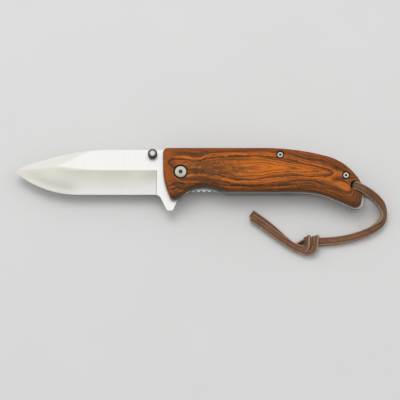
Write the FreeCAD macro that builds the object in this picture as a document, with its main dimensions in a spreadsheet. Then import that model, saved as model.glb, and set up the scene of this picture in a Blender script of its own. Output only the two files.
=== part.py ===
"""Folding pocket knife, open, lying on its back scale with the show side up.

The frame has its origin on the pivot axis, on the flat outer face of the back scale. +X runs from the
pivot to the butt, +Y to the spine and +Z through the handle to the front scale. All sizes are millimetres.
"""

import FreeCAD, Part
import math
import os

import Sketcher

SIZES = {
    # layers through the handle
    "scale_thick": 4.3,
    "liner_thick": 1.5,
    "washer_thick": 0.3,
    "blade_thick": 3.0,
    # handle outline: where its tangent lines cross, and the round at each crossing
    "spine_height": 14.5,
    "belly_depth": 11.5,
    "front_reach": 10.3,
    "front_top_round": 3.0,
    "spine_bend_setback": 41.1,
    "spine_round": 135.0,
    "butt_slope_setback": 12.0,
    "butt_slope_height": 7.5,
    "butt_slope_round": 31.0,
    "butt_reach": 105.0,
    "butt_height": 15.95,
    "butt_round": 14.0,
    "heel_setback": 1.3,
    "heel_depth": 22.8,
    "heel_round": 4.0,
    "belly_bend_setback": 27.1,
    "belly_round": 47.0,
    "groove_rear_run": 15.8,
    "groove_rear_round": 8.0,
    "groove_x": 10.2,
    "groove_peak_depth": 5.4,
    "groove_round": 18.0,
    "nose_x": 4.9,
    "nose_depth": 18.0,
    "nose_round": 2.9,
    "front_bend_rise": 13.3,
    "front_round": 40.0,
    "scale_inset": 0.35,
    "scale_heel_setback": 0.6,
    "scale_heel_rise": 0.3,
    "scale_edge_round": 1.8,
    # blade outline
    "tip_reach": 95.2,
    "tip_height": 1.0,
    "point_setback": 6.7,
    "point_height": 5.4,
    "point_round": 14.0,
    "drop_setback": 38.2,
    "drop_round": 118.0,
    "blade_spine_height": 14.0,
    "blade_edge_depth": 12.0,
    "curve_setback": 19.7,
    "curve_round": 55.0,
    "shoulder_round": 1.0,
    "guard_front_x": 12.4,
    "guard_front_round": 4.5,
    "guard_root_round": 1.0,
    "guard_tip_front_x": 7.7,
    "guard_tip_rear_x": 4.4,
    "guard_tip_depth": 21.5,
    "guard_tip_round": 1.8,
    "guard_flank_x": 2.1,
    "guard_flank_depth": 15.7,
    "guard_rear_x": 0.5,
    "guard_rear_depth": 12.6,
    "tang_pin_gap": 0.34,
    "tang_corner_x": 7.0,
    "tang_corner_depth": 9.2,
    # blade grinds
    "grind_height": 2.0,
    "edge_half_thick": 0.2,
    "plunge_gap": 1.4,
    "swedge_setback": 25.0,
    "swedge_height": 4.6,
    "swedge_angle": 26.0,
    "swedge_slope": 8.0,
    # stop pin and lock
    "stop_pin_x": 6.0,
    "stop_pin_y": 9.5,
    "stop_pin_radius": 1.5,
    "stop_clearance": 0.03,
    "lock_top_x": 6.0,
    "lock_top_depth": 3.5,
    "lock_low_x": 5.25,
    "lock_low_depth": 9.6,
    "lock_clearance": 0.05,
    "leaf_top_gap": 0.4,
    "leaf_low_depth": 10.2,
    "leaf_step_x": 20.5,
    "leaf_root_setback": 47.0,
    "leaf_slot": 0.6,
    "leaf_rise": 1.1,
    "jimp_first_x": 8.7,
    "jimp_pitch": 3.15,
    "jimp_count": 4,
    "jimp_radius": 0.8,
    "detent_x": 9.5,
    "detent_depth": 6.5,
    "detent_radius": 0.8,
    "detent_proud": 0.25,
    # pivot
    "barrel_radius": 2.5,
    "pivot_clearance": 0.03,
    "washer_leaf_gap": 0.7,
    "pivot_head_radius": 3.55,
    "pivot_head_thick": 1.4,
    "pivot_recess_gap": 0.6,
    "pivot_thread_radius": 1.5,
    "pivot_thread_length": 6.0,
    "pivot_socket_radius": 1.0,
    # body screws and standoffs
    "spine_screw_setback": 48.0,
    "spine_screw_drop": 4.6,
    "butt_screw_setback": 10.4,
    "butt_screw_depth": 2.1,
    "screw_head_radius": 1.9,
    "screw_head_thick": 1.3,
    "screw_recess_gap": 0.45,
    "screw_thread_radius": 1.2,
    "screw_end_gap": 0.2,
    "screw_socket_radius": 0.62,
    "screw_hole_gap": 0.15,
    "standoff_radius": 2.5,
    "head_sunk": 0.4,
    "head_chamfer": 0.35,
    "socket_depth": 0.8,
    "lobe_count": 6,
    "lobe_share": 0.36,
    "thread_clearance": 0.03,
    # thumb stud
    "stud_x": 16.1,
    "stud_drop": 2.9,
    "stud_height": 4.6,
    "stud_base_radius": 2.65,
    "stud_base_thick": 0.9,
    "stud_waist_radius": 2.25,
    "stud_waist_height": 1.4,
    "stud_top_radius": 2.0,
    "stud_shank_radius": 1.3,
    "stud_shank_gap": 0.3,
    "stud_screw_head_radius": 1.9,
    "stud_screw_head_thick": 1.0,
    "stud_thread_radius": 0.8,
    "stud_thread_length": 2.4,
    "stud_socket_radius": 0.48,
    # lanyard hole and lace
    "lanyard_setback": 5.6,
    "lanyard_depth": 7.8,
    "lanyard_radius": 2.5,
    "lead_out_angle": -17.0,
    "lead_out_length": 12.0,
    "lead_out_gap": 0.3,
    "lace_width": 4.4,
    "lace_thick": 1.8,
    "knot_x": 75.3,
    "knot_depth": 40.4,
    "knot_long": 8.6,
    "knot_wide": 10.2,
    "knot_high": 5.2,
}

# heights of the layers, from the back scale's outer face up
LINER_BACK_Z = "size.scale_thick"
WASHER_BACK_Z = f"{LINER_BACK_Z} + size.liner_thick"
BLADE_Z = f"{WASHER_BACK_Z} + size.washer_thick"
WASHER_FRONT_Z = f"{BLADE_Z} + size.blade_thick"
LINER_FRONT_Z = f"{WASHER_FRONT_Z} + size.washer_thick"
SCALE_FRONT_Z = f"{LINER_FRONT_Z} + size.liner_thick"
TOP_Z = f"{SCALE_FRONT_Z} + size.scale_thick"
CHANNEL = "(size.blade_thick + 2 * size.washer_thick)"

# places that go with a size
SPINE_BEND_X = "(size.butt_reach - size.spine_bend_setback)"
BUTT_SLOPE_X = "(size.butt_reach - size.butt_slope_setback)"
BUTT_TOP_Y = "(size.butt_height - size.heel_depth)"
HEEL_X = "(size.butt_reach - size.heel_setback)"
BELLY_BEND_X = "(size.butt_reach - size.belly_bend_setback)"
GROOVE_REAR_X = "(size.groove_x + size.groove_rear_run)"
FRONT_BEND_DEPTH = "(size.nose_depth - size.front_bend_rise)"
POINT_X = "(size.tip_reach - size.point_setback)"
DROP_X = "(size.tip_reach - size.drop_setback)"
CURVE_X = "(size.tip_reach - size.curve_setback)"
SWEDGE_X = "(size.tip_reach - size.swedge_setback)"
PLUNGE_X = "(size.guard_front_x + size.plunge_gap)"
STOP_PIN_REACH = "sqrt(size.stop_pin_x ^ 2 + size.stop_pin_y ^ 2)"
TANG_RADIUS = f"({STOP_PIN_REACH} - size.stop_pin_radius - size.tang_pin_gap)"
LEAF_TOP_DEPTH = "(size.lock_top_depth + size.leaf_top_gap)"
LEAF_ROOT_X = "(size.butt_reach - size.leaf_root_setback)"
WASHER_RADIUS = f"(sqrt(size.lock_top_x ^ 2 + {LEAF_TOP_DEPTH} ^ 2) - size.washer_leaf_gap)"
STUD_Y = "(size.blade_spine_height - size.stud_drop)"
STUD_SHANK = "(size.blade_thick - size.stud_screw_head_thick - size.stud_shank_gap)"
THREAD_ENGAGED = f"({CHANNEL} / 2 - size.screw_end_gap)"
LANYARD_X = "(size.butt_reach - size.lanyard_setback)"


def handle_outline(heel_x, heel_y):
    """The handle's outline, with the low corner of its butt at a place of its own."""
    return [
        ("-size.front_reach", "size.spine_height", "size.front_top_round"),
        ("-size.front_reach", f"-{FRONT_BEND_DEPTH}", "size.front_round"),
        ("-size.nose_x", "-size.nose_depth", "size.nose_round"),
        ("size.groove_x", "-size.groove_peak_depth", "size.groove_round"),
        (GROOVE_REAR_X, "-size.belly_depth", "size.groove_rear_round"),
        (BELLY_BEND_X, "-size.belly_depth", "size.belly_round"),
        (heel_x, heel_y, "size.heel_round"),
        ("size.butt_reach", BUTT_TOP_Y, "size.butt_round"),
        (BUTT_SLOPE_X, "size.butt_slope_height", "size.butt_slope_round"),
        (SPINE_BEND_X, "size.spine_height", "size.spine_round"),
    ]


LINER_OUTLINE = handle_outline(HEEL_X, "-size.heel_depth")
SCALE_OUTLINE = handle_outline(
    f"({HEEL_X} - size.scale_heel_setback)", "-(size.heel_depth - size.scale_heel_rise)"
)

SHOULDER_X = "-size.stop_pin_x - size.stop_pin_radius - size.stop_clearance"
BODY_SCREWS = {
    "spine": ("size.butt_reach - size.spine_screw_setback", "size.spine_height - size.spine_screw_drop"),
    "butt": ("size.butt_reach - size.butt_screw_setback", "-size.butt_screw_depth"),
}
STUD_X = "-size.stud_x"
OVERCUT = 2.0  # how far a cutting profile runs past the surface that it cuts
CURVED_SWEEP = 60  # degrees round the curve of the edge, enough to run past the tip
TINY = 1e-6

doc = FreeCAD.newDocument("pocket_knife")
sheet = doc.addObject("Spreadsheet::Sheet", "size")
for row, (word, amount) in enumerate(SIZES.items(), start=1):
    sheet.set(f"A{row}", word)
    sheet.set(f"B{row}", str(amount))
    sheet.setAlias(f"B{row}", word)
doc.recompute()

pieces = {}


def value(expression):
    """The number that an expression on the sheet gives now."""
    found = sheet.evalExpression(str(expression))
    return float(getattr(found, "Value", found))


def new_body(node):
    body = doc.addObject("PartDesign::Body", f"body_{node}")
    body.Label = node
    pieces[node] = body
    return body


def origin_feature(body, role):
    return next(f for f in body.Origin.OriginFeatures if f.Role == role)


def new_sketch(body, name, plane="XY_Plane", offset="0"):
    sketch = body.newObject("Sketcher::SketchObject", name)
    sketch.AttachmentSupport = (origin_feature(body, plane), [""])
    sketch.MapMode = "FlatFace"
    sketch.setExpression("AttachmentOffset.Base.z", offset)
    return sketch


def bind(sketch, kind, *where, to):
    """A dimension of a sketch that follows an expression on the sheet."""
    number = sketch.addConstraint(Sketcher.Constraint(kind, *where, value(to)))
    sketch.setExpression(f"Constraints[{number}]", to)


def pin_point(sketch, geometry, end, x, y):
    bind(sketch, "DistanceX", -1, 1, geometry, end, to=x)
    bind(sketch, "DistanceY", -1, 1, geometry, end, to=y)


def unit(start, end):
    step = end - start
    return step / step.Length


def inset_corners(corners, inset):
    """Corners of an anticlockwise outline, moved inwards by the same distance on every side."""
    points = [FreeCAD.Vector(value(x), value(y), 0) for x, y, _ in corners]
    moved = []
    for i, (x, y, radius) in enumerate(corners):
        before = unit(points[i - 1], points[i])
        after = unit(points[i], points[(i + 1) % len(points)])
        inwards = FreeCAD.Vector(-before.y - after.y, before.x + after.x, 0)
        inwards = inwards / (1 + before.dot(after))
        sign = "-" if before.cross(after).z > 0 else "+"
        moved.append(
            (
                f"{x} + ({inwards.x:.9f}) * {inset}",
                f"{y} + ({inwards.y:.9f}) * {inset}",
                f"{radius} {sign} {inset}" if radius else None,
            )
        )
    return moved


def draw_outline(sketch, corners):
    """A closed outline of straight lines whose corners have a round, or none where its radius is None."""
    points = [FreeCAD.Vector(value(x), value(y), 0) for x, y, _ in corners]
    up = FreeCAD.Vector(0, 0, 1)
    starts, ends, arcs = [], [], []
    for i, (_, _, radius) in enumerate(corners):
        before = unit(points[i - 1], points[i])
        after = unit(points[i], points[(i + 1) % len(points)])
        if radius is None:
            starts.append(points[i])
            ends.append(points[i])
            arcs.append(None)
            continue
        round_it = value(radius)
        turn = math.atan2(before.cross(after).z, before.dot(after))
        reach = round_it * math.tan(abs(turn) / 2)
        first, last = points[i] - before * reach, points[i] + after * reach
        side = up.cross(before) * math.copysign(round_it, turn)
        circle = Part.Circle(first + side, up, round_it)
        low, high = (first, last) if turn > 0 else (last, first)
        arc = Part.ArcOfCircle(circle, circle.parameter(low), circle.parameter(high))
        starts.append(first)
        ends.append(last)
        arcs.append((arc, 1 if turn > 0 else 2))
    lines = [
        sketch.addGeometry(Part.LineSegment(ends[i - 1], starts[i]), False)
        for i in range(len(corners))
    ]
    for i, (x, y, radius) in enumerate(corners):
        line, following = lines[i], lines[(i + 1) % len(lines)]
        if radius is None:
            sketch.addConstraint(Sketcher.Constraint("Coincident", line, 2, following, 1))
            pin_point(sketch, line, 2, x, y)
            continue
        arc, first_end = arcs[i]
        bow = sketch.addGeometry(arc, False)
        corner = sketch.addGeometry(Part.Point(points[i]), True)
        pin_point(sketch, corner, 1, x, y)
        sketch.addConstraint(Sketcher.Constraint("PointOnObject", corner, 1, line))
        sketch.addConstraint(Sketcher.Constraint("PointOnObject", corner, 1, following))
        sketch.addConstraint(Sketcher.Constraint("Tangent", line, 2, bow, first_end))
        sketch.addConstraint(Sketcher.Constraint("Tangent", bow, 3 - first_end, following, 1))
        bind(sketch, "Radius", bow, to=radius)


def sharp(*points):
    return [(x, y, None) for x, y in points]


def draw_circle(sketch, x, y, radius):
    centre = FreeCAD.Vector(value(x), value(y), 0)
    circle = Part.Circle(centre, FreeCAD.Vector(0, 0, 1), value(radius))
    geometry = sketch.addGeometry(circle, False)
    pin_point(sketch, geometry, 3, x, y)
    bind(sketch, "Radius", geometry, to=radius)


def pad(body, name, sketch, length):
    feature = body.newObject("PartDesign::Pad", name)
    feature.Profile = sketch
    feature.setExpression("Length", length)
    return feature


def pocket(body, name, sketch, length, upwards):
    """A cut from the sketch, along its normal where upwards is true and against it otherwise."""
    feature = body.newObject("PartDesign::Pocket", name)
    feature.Profile = sketch
    feature.setExpression("Length", length)
    feature.Reversed = upwards
    return feature


def bore(body, name, x, y, radius, floor, depth, upwards=True):
    """A round hole that starts at the height floor and goes up, or down where upwards is false."""
    sketch = new_sketch(body, f"{name}_circle", offset=floor)
    draw_circle(sketch, x, y, radius)
    return pocket(body, name, sketch, depth, upwards)


def turned(body, name, profile):
    """A piece turned about Z, from the corners (radius, height) of half its section."""
    sketch = new_sketch(body, f"{name}_section", "XZ_Plane")
    draw_outline(sketch, sharp(*profile))
    feature = body.newObject("PartDesign::Revolution", name)
    feature.Profile = sketch
    feature.ReferenceAxis = (origin_feature(body, "Z_Axis"), [""])
    feature.Angle = 360
    return feature


def place(body, x="0", y="0", z="0", axis=(1, 0, 0), angle="0"):
    body.Placement = FreeCAD.Placement(
        FreeCAD.Vector(0, 0, 0), FreeCAD.Rotation(FreeCAD.Vector(*axis), value(angle))
    )
    for coordinate, expression in zip("xyz", (x, y, z)):
        body.setExpression(f"Placement.Base.{coordinate}", expression)
    body.setExpression("Placement.Rotation.Angle", angle)


def lobed_socket(body, radius):
    """A six-lobe drive socket in a screw head whose outer face is at height 0."""
    bore(body, "socket", "0", "0", radius, "0", "size.socket_depth", upwards=False)
    lobe = bore(
        body, "lobe", radius, "0", f"size.lobe_share * {radius}", "0", "size.socket_depth", upwards=False
    )
    ring = body.newObject("PartDesign::PolarPattern", "lobes")
    ring.Originals = [lobe]
    ring.Axis = (origin_feature(body, "Z_Axis"), [""])
    ring.setExpression("Occurrences", "size.lobe_count")
    body.Tip = ring


def head_profile(radius, thick, shank, length):
    """Half the section of a screw: a chamfered head below height 0, and its shank under it."""
    return [
        ("0", "0"),
        ("0", f"-{thick} - {length}"),
        (shank, f"-{thick} - {length}"),
        (shank, f"-{thick}"),
        (radius, f"-{thick}"),
        (radius, "-size.head_chamfer"),
        (f"{radius} - size.head_chamfer", "0"),
    ]


def scale(node, front):
    """A wooden scale: flat, with its outer edge rounded and its holes counterbored from outside."""
    body = new_body(node)
    sketch = new_sketch(body, "outline")
    draw_outline(sketch, inset_corners(SCALE_OUTLINE, "size.scale_inset"))
    slab = pad(body, "slab", sketch, "size.scale_thick")
    doc.recompute()
    outer = value("size.scale_thick") if front else 0
    rim = [
        f"Edge{i}"
        for i, edge in enumerate(slab.Shape.Edges, start=1)
        if abs(edge.BoundBox.ZMin - outer) < TINY and abs(edge.BoundBox.ZMax - outer) < TINY
    ]
    rounding = body.newObject("PartDesign::Fillet", "outer_edge")
    rounding.Base = (slab, rim)
    rounding.setExpression("Radius", "size.scale_edge_round")
    face = "size.scale_thick" if front else "0"
    bore(
        body, "pivot_hole", "0", "0", "size.barrel_radius + size.pivot_clearance",
        "0", "size.scale_thick",
    )
    bore(
        body, "pivot_recess", "0", "0", "size.pivot_head_radius + size.pivot_recess_gap",
        face, "size.head_sunk + size.pivot_head_thick", upwards=not front,
    )
    for name, (x, y) in BODY_SCREWS.items():
        bore(
            body, f"{name}_hole", x, y, "size.screw_thread_radius + size.screw_hole_gap",
            "0", "size.scale_thick",
        )
        bore(
            body, f"{name}_recess", x, y, "size.screw_head_radius + size.screw_recess_gap",
            face, "size.head_sunk + size.screw_head_thick", upwards=not front,
        )
    bore(
        body, "lanyard_hole", LANYARD_X, "-size.lanyard_depth", "size.lanyard_radius",
        "0", "size.scale_thick",
    )
    place(body, z=SCALE_FRONT_Z if front else "0")
    return body


def lead_out(body):
    """The shallow channel in the back face that takes the lace from its hole to the butt."""
    angle = "size.lead_out_angle"
    half = "(size.lace_width / 2 + size.lead_out_gap)"
    ends = [("0", "-1"), ("size.lead_out_length", "-1"), ("size.lead_out_length", "1"), ("0", "1")]
    corners = [
        (
            f"{LANYARD_X} + {along} * cos({angle}) - {side} * {half} * sin({angle})",
            f"-size.lanyard_depth + {along} * sin({angle}) + {side} * {half} * cos({angle})",
        )
        for along, side in ends
    ]
    sketch = new_sketch(body, "lead_out_sides")
    draw_outline(sketch, sharp(*corners))
    pocket(body, "lead_out", sketch, "size.lace_thick + size.lead_out_gap", upwards=True)


def liner(node, base):
    body = new_body(node)
    sketch = new_sketch(body, "outline")
    draw_outline(sketch, LINER_OUTLINE)
    pad(body, "sheet", sketch, "size.liner_thick")
    holes = {
        "pivot_hole": ("0", "0", "size.barrel_radius + size.pivot_clearance"),
        "stop_hole": ("-size.stop_pin_x", "size.stop_pin_y", "size.stop_pin_radius + size.thread_clearance"),
        "lanyard_hole": (LANYARD_X, "-size.lanyard_depth", "size.lanyard_radius"),
    }
    for name, (x, y) in BODY_SCREWS.items():
        holes[f"{name}_hole"] = (x, y, "size.screw_thread_radius + size.screw_hole_gap")
    for name, (x, y, radius) in holes.items():
        bore(body, name, x, y, radius, "0", "size.liner_thick")
    place(body, z=base)
    return body


LOCK_LEAN = "((size.lock_top_x - size.lock_low_x) / (size.lock_low_depth - size.lock_top_depth))"


def lock_face_x(depth):
    """Where the lock face stands at a depth below the pivot."""
    return f"size.lock_top_x - {LOCK_LEAN} * ({depth} - size.lock_top_depth)"


def leaf_cutout(body):
    """The opening in the back liner that the lock leaf is cut from, with the slot above and before it."""
    below = f"-size.belly_depth - {OVERCUT}"
    top = f"-{LEAF_TOP_DEPTH} + size.leaf_slot"
    front = f"{lock_face_x('size.leaf_low_depth')} - size.leaf_slot"
    sketch = new_sketch(body, "leaf_opening")
    corners = [(front, below), (LEAF_ROOT_X, below), (LEAF_ROOT_X, top), (front, top)]
    draw_outline(sketch, sharp(*corners))
    pocket(body, "leaf_cutout", sketch, "size.liner_thick", upwards=True)


def lock_leaf():
    """The spring leaf of the back liner, sprung in behind the tang, with its pressed-in detent ball."""
    body = doc.addObject("PartDesign::Body", "body_leaf_plate")
    body.Label = "leaf_plate"
    tip = {
        depth: f"{lock_face_x(depth)} + size.lock_clearance - {LEAF_ROOT_X}"
        for depth in (LEAF_TOP_DEPTH, "size.leaf_low_depth")
    }
    corners = [
        (tip[LEAF_TOP_DEPTH], f"-{LEAF_TOP_DEPTH}"),
        (tip["size.leaf_low_depth"], "-size.leaf_low_depth"),
        (f"size.leaf_step_x - {LEAF_ROOT_X}", "-size.leaf_low_depth"),
        (f"{GROOVE_REAR_X} - {LEAF_ROOT_X}", "-size.belly_depth"),
        ("0", "-size.belly_depth"),
        ("0", f"-{LEAF_TOP_DEPTH}"),
    ]
    sketch = new_sketch(body, "outline", offset="-size.liner_thick")
    draw_outline(sketch, sharp(*corners))
    pad(body, "leaf", sketch, "size.liner_thick")
    notch = bore(
        body, "jimp", f"size.jimp_first_x - {LEAF_ROOT_X}", "-size.leaf_low_depth",
        "size.jimp_radius", "-size.liner_thick", "size.liner_thick",
    )
    row = body.newObject("PartDesign::LinearPattern", "jimping")
    row.Originals = [notch]
    row.Direction = (origin_feature(body, "X_Axis"), [""])
    row.setExpression("Length", "size.jimp_pitch * (size.jimp_count - 1)")
    row.setExpression("Occurrences", "size.jimp_count")
    body.Tip = row
    ball_x = f"size.detent_x - {LEAF_ROOT_X}"
    bore(
        body, "ball_seat", ball_x, "-size.detent_depth", "size.detent_radius + size.thread_clearance",
        "-size.liner_thick", "size.liner_thick",
    )
    ball = doc.addObject("Part::Sphere", "detent_ball")
    ball.setExpression("Radius", "size.detent_radius")
    ball.setExpression("Placement.Base.x", ball_x)
    ball.setExpression("Placement.Base.y", "-size.detent_depth")
    ball.setExpression("Placement.Base.z", "size.detent_proud - size.detent_radius")
    leaf = doc.addObject("Part::Compound", "body_lock_leaf")
    leaf.Label = "lock_leaf"
    leaf.Links = [body, ball]
    pieces["lock_leaf"] = leaf
    lever = f"({LEAF_ROOT_X} - size.lock_top_x)"
    tilt = f"atan(size.leaf_rise / {lever})"
    place(leaf, x=LEAF_ROOT_X, z=WASHER_BACK_Z, axis=(0, 1, 0), angle=tilt)


def bevel_section(sketch):
    """What the main grind takes off one side, seen along the blade, from the grind line past the edge."""
    fall = "(size.blade_thick / 2 - size.edge_half_thick) / (size.grind_height + size.blade_edge_depth)"
    past = f"-size.blade_edge_depth - {OVERCUT}"
    above = f"size.blade_thick / 2 + {OVERCUT}"
    corners = [
        ("size.grind_height", "size.blade_thick / 2"),
        ("size.grind_height", above),
        (past, above),
        (past, f"size.edge_half_thick - {OVERCUT} * {fall}"),
    ]
    draw_outline(sketch, sharp(*corners))


def grinds(body):
    """The main bevel, straight and then round the curve of the edge, and the swedge; one side, mirrored."""
    rise = "(size.tip_height + size.blade_edge_depth)"
    turn = f"atan({rise} / (size.tip_reach - {CURVE_X}))"
    curve_start = f"-{CURVE_X} + size.curve_round * tan({turn} / 2)"
    straight_sketch = new_sketch(body, "bevel_section", "YZ_Plane", f"-{PLUNGE_X}")
    bevel_section(straight_sketch)
    straight = pocket(
        body, "bevel", straight_sketch, f"-{PLUNGE_X} - ({curve_start})", upwards=False
    )
    round_sketch = new_sketch(body, "curve_section", "YZ_Plane", curve_start)
    bevel_section(round_sketch)
    centre_y = value("size.curve_round - size.blade_edge_depth")
    axis = round_sketch.addGeometry(
        Part.LineSegment(FreeCAD.Vector(centre_y, 0, 0), FreeCAD.Vector(centre_y, 1, 0)), True
    )
    pin_point(round_sketch, axis, 1, "size.curve_round - size.blade_edge_depth", "0")
    pin_point(round_sketch, axis, 2, "size.curve_round - size.blade_edge_depth", "1")
    curved = body.newObject("PartDesign::Groove", "curved_bevel")
    curved.Profile = round_sketch
    curved.ReferenceAxis = (round_sketch, ["Axis0"])
    curved.Angle = CURVED_SWEEP
    curved.Reversed = True
    swedge = body.newObject("PartDesign::SubtractiveBox", "swedge")
    swedge.setExpression("Length", "size.tip_reach")
    swedge.setExpression("Width", "size.tip_reach")
    swedge.setExpression("Height", "size.blade_thick")
    angle = math.radians(value("size.swedge_angle"))
    swedge.Placement = FreeCAD.Placement(
        FreeCAD.Vector(0, 0, 0),
        FreeCAD.Rotation(value("size.swedge_angle"), 0, -value("size.swedge_slope")),
    )
    back = f"(size.tip_reach / 2) * {math.cos(angle):.9f}"
    down = f"(size.tip_reach / 2) * {math.sin(angle):.9f}"
    swedge.setExpression("Placement.Base.x", f"-{SWEDGE_X} - {back}")
    swedge.setExpression("Placement.Base.y", f"size.swedge_height - {down}")
    swedge.setExpression("Placement.Base.z", "size.blade_thick / 2")
    both = body.newObject("PartDesign::Mirrored", "both_sides")
    both.Originals = [straight, curved, swedge]
    both.MirrorPlane = (origin_feature(body, "XY_Plane"), [""])
    body.Tip = both


def blade():
    body = new_body("blade")
    under = "-size.blade_thick / 2"
    inside_tang = f"{TANG_RADIUS} / 4"
    corners = [
        ("-size.tip_reach", "size.tip_height", None),
        (f"-{CURVE_X}", "-size.blade_edge_depth", "size.curve_round"),
        ("-size.guard_front_x", "-size.blade_edge_depth", "size.guard_front_round"),
        ("-size.guard_tip_front_x", "-size.guard_tip_depth", "size.guard_tip_round"),
        ("-size.guard_tip_rear_x", "-size.guard_tip_depth", "size.guard_tip_round"),
        ("-size.guard_flank_x", "-size.guard_flank_depth", None),
        ("-size.guard_rear_x", "-size.guard_rear_depth", "size.guard_root_round"),
        ("size.tang_corner_x", "-size.tang_corner_depth", None),
        (inside_tang, f"-{inside_tang}", None),
        (SHOULDER_X, inside_tang, None),
        (SHOULDER_X, "size.blade_spine_height", "size.shoulder_round"),
        (f"-{DROP_X}", "size.blade_spine_height", "size.drop_round"),
        (f"-{POINT_X}", "size.point_height", "size.point_round"),
    ]
    sketch = new_sketch(body, "outline", offset=under)
    draw_outline(sketch, corners)
    pad(body, "plate", sketch, "size.blade_thick")
    tang = new_sketch(body, "tang_round", offset=under)
    draw_circle(tang, "0", "0", TANG_RADIUS)
    pad(body, "tang", tang, "size.blade_thick")
    right = f"{TANG_RADIUS} + {OVERCUT}"
    low = f"({TANG_RADIUS} + {OVERCUT})"
    lock = new_sketch(body, "lock_notch", offset=under)
    draw_outline(
        lock,
        sharp(
            (lock_face_x("size.lock_top_depth"), "-size.lock_top_depth"),
            (lock_face_x(low), f"-{low}"),
            (right, f"-{low}"),
            (right, "-size.lock_top_depth"),
        ),
    )
    pocket(body, "lock_face", lock, "size.blade_thick", upwards=True)
    bore(
        body, "pivot_hole", "0", "0", "size.barrel_radius + size.pivot_clearance",
        under, "size.blade_thick",
    )
    bore(
        body, "stud_hole", STUD_X, STUD_Y, "size.stud_shank_radius + size.thread_clearance",
        under, "size.blade_thick",
    )
    bore(
        body, "stud_screw_seat", STUD_X, STUD_Y,
        "size.stud_screw_head_radius + size.thread_clearance", under, "size.stud_screw_head_thick",
    )
    grinds(body)
    place(body, z=f"{BLADE_Z} + size.blade_thick / 2")


def thumb_stud():
    """A waisted stud on the show side of the blade, threaded for the screw that holds it."""
    body = new_body("thumb_stud")
    head = "(size.stud_base_thick + size.stud_waist_height)"
    crown = "(size.stud_base_radius - size.stud_top_radius)"
    well = "size.stud_thread_radius + size.thread_clearance"
    screw_reach = "size.stud_screw_head_thick + size.stud_thread_length"
    top_of_well = f"({screw_reach} + size.thread_clearance - size.blade_thick)"
    turned(
        body, "stud",
        [
            ("0", "size.stud_height"),
            ("0", top_of_well),
            (well, top_of_well),
            (well, f"-{STUD_SHANK}"),
            ("size.stud_shank_radius", f"-{STUD_SHANK}"),
            ("size.stud_shank_radius", "0"),
            ("size.stud_base_radius", "0"),
            ("size.stud_base_radius", "size.stud_base_thick"),
            ("size.stud_waist_radius", f"{head} - size.stud_waist_height / 2"),
            ("size.stud_base_radius", head),
            ("size.stud_base_radius", f"size.stud_height - {crown}"),
            ("size.stud_top_radius", "size.stud_height"),
        ],
    )
    place(body, x=STUD_X, y=STUD_Y, z=WASHER_FRONT_Z)


def screw(node, radius, thick, shank, length, socket, x, y, z, front):
    body = new_body(node)
    turned(body, "screw", head_profile(radius, thick, shank, length))
    lobed_socket(body, socket)
    place(body, x, y, z, angle="0" if front else "180")


def pivot_barrel():
    """The female half of the pivot: a head at the back and a tube through the whole knife."""
    body = new_body("pivot_barrel")
    head = "size.pivot_head_thick"
    radius = "size.pivot_head_radius"
    end = f"-({TOP_Z} - size.head_sunk - {head} - size.thread_clearance - size.head_sunk)"
    well = "(size.pivot_thread_length + size.thread_clearance)"
    inner = "size.pivot_thread_radius + size.thread_clearance"
    turned(
        body, "barrel",
        [
            ("0", "0"),
            ("0", f"{end} + {well}"),
            (inner, f"{end} + {well}"),
            (inner, end),
            ("size.barrel_radius", end),
            ("size.barrel_radius", f"-{head}"),
            (radius, f"-{head}"),
            (radius, "-size.head_chamfer"),
            (f"{radius} - size.head_chamfer", "0"),
        ],
    )
    lobed_socket(body, "size.pivot_socket_radius")
    place(body, z="size.head_sunk", angle="180")


def ring(node, inner, outer, thick, x, y, z):
    body = new_body(node)
    turned(body, "ring", [(inner, "0"), (outer, "0"), (outer, thick), (inner, thick)])
    place(body, x, y, z)


def stop_pin():
    body = new_body("stop_pin")
    length = f"{CHANNEL} + 2 * size.liner_thick"
    radius = "size.stop_pin_radius"
    turned(body, "pin", [("0", "0"), (radius, "0"), (radius, length), ("0", length)])
    place(body, "-size.stop_pin_x", "size.stop_pin_y", LINER_BACK_Z)


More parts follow.
